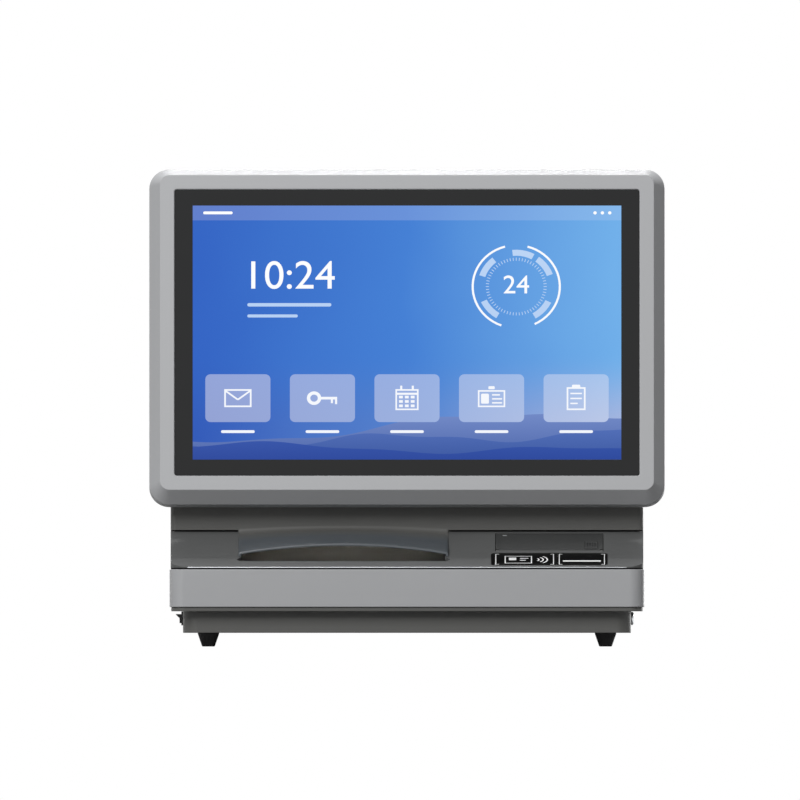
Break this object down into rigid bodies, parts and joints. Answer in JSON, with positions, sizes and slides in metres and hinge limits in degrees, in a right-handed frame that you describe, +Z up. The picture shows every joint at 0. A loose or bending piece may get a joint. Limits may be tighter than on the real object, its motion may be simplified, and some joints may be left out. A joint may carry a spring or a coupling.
{
  "type": "visitor terminal",
  "caption": "Counter-top visitor terminal: tilting touch display on a base with a hooded document scan bay, receipt printer flap, card reader window and side switches.",
  "frame": {"origin": "on the counter, under the middle of the base", "axes": "+Z up, the front with the display and the deck faces -Y, +X to the right seen from the front"},
  "size_m": [0.4906, 0.3, 0.4543],
  "materials": {
    "charcoal_abs": "fine moulded texture",
    "slate_abs": "fine moulded texture",
    "band_abs": "satin moulded",
    "silver_abs": "silver grey, satin",
    "flap_abs": "satin moulded",
    "black_abs": "matt",
    "bay_abs": "matt moulded texture",
    "foot_rubber": "matt",
    "touch_glass": "black printed border under glass",
    "card_acrylic": "polished",
    "scan_float_glass": "clear float glass",
    "lamp_plastic": "milky",
    "screw_steel": "zinc plated",
    "sheet_steel": "zinc-coated sheet",
    "stand_steel": "black powder coat",
    "button_steel": "polished stainless steel",
    "sink_alloy": "extruded, bare",
    "washer_brass": "plain",
    "board_laminate": "solder mask",
    "panel_module": "panel module",
    "roll_paper": "thermal paper"
  },
  "bodies": {
    "base": {"lower_tray": "charcoal_abs", "feet": "foot_rubber", "foot_screws": "screw_steel", "case_screws": "screw_steel", "mid_frame": "band_abs", "deck_shell": "slate_abs", "top_cover": "charcoal_abs", "scan_bed": "bay_abs", "scan_glass": "scan_float_glass", "bay_liner": "bay_abs", "light_box": "black_abs", "scan_camera": "board_laminate", "scan_lamps": "lamp_plastic", "printer_frame": "charcoal_abs", "flap_pin": "screw_steel", "print_head": "sink_alloy", "card_window": "card_acrylic", "id_antenna": "board_laminate", "ic_antenna": "board_laminate", "main_board": "board_laminate", "board_posts": "screw_steel", "heat_sink": "sink_alloy", "io_plate": "sheet_steel", "usb_sockets": "sheet_steel", "lan_socket": "black_abs", "power_supply": "sheet_steel", "mains_inlet": "black_abs", "rocker_frame": "black_abs", "start_bezel": "button_steel", "start_nut": "button_steel", "hinge_axle": "screw_steel", "axle_nuts": "screw_steel", "friction_washers": "washer_brass", "stand_bracket": "stand_steel", "stand_screws": "screw_steel", "cable_gland": "foot_rubber"},
    "display": {"front_bezel": "silver_abs", "touch_glass": "touch_glass", "lcd_panel": "panel_module", "panel_chassis": "sheet_steel", "display_board": "board_laminate", "rear_shell": "charcoal_abs", "shell_screws": "screw_steel", "tilt_bracket": "stand_steel", "bracket_screws": "screw_steel"},
    "flap": {"printer_flap": "flap_abs", "printer_led": "lamp_plastic"},
    "flap_button": {"open_button": "flap_abs"},
    "platen": {"platen_roller": "foot_rubber", "platen_shaft": "screw_steel"},
    "paper": {"paper_roll": "roll_paper", "roll_spindle": "charcoal_abs"},
    "rocker": {"rocker_paddle": "black_abs"},
    "start_button": {"start_cap": "button_steel"}
  },
  "joints": [
    {"name": "display_tilt", "type": "hinge", "parent": "base", "child": "display", "pos_m": [0, -0.02728, 0.17954], "axis": [-1, 0, 0], "range_deg": [-3.5, 21.5]},
    {"name": "flap_swing", "type": "hinge", "parent": "base", "child": "flap", "pos_m": [0.1355, -0.10592, 0.09013], "axis": [1, 0, 0], "range_deg": [0, 80]},
    {"name": "flap_button_press", "type": "slide", "parent": "flap", "child": "flap_button", "axis": [0, 0.454, -0.891], "range_m": [0, 0.0012], "stiffness_N_per_m": 600},
    {"name": "platen_turn", "type": "hinge", "parent": "flap", "child": "platen", "pos_m": [0.1355, -0.0772, 0.09775], "axis": [1, 0, 0], "continuous": true},
    {"name": "paper_turn", "type": "hinge", "parent": "base", "child": "paper", "pos_m": [0.1355, -0.0769, 0.07074], "axis": [1, 0, 0], "continuous": true},
    {"name": "rocker_tip", "type": "hinge", "parent": "base", "child": "rocker", "pos_m": [-0.21405, -0.07, 0.0267], "axis": [0, 1, 0], "range_deg": [0, 22]},
    {"name": "start_press", "type": "slide", "parent": "base", "child": "start_button", "axis": [-1, 0, 0], "range_m": [0, 0.0015], "stiffness_N_per_m": 600}
  ]
}
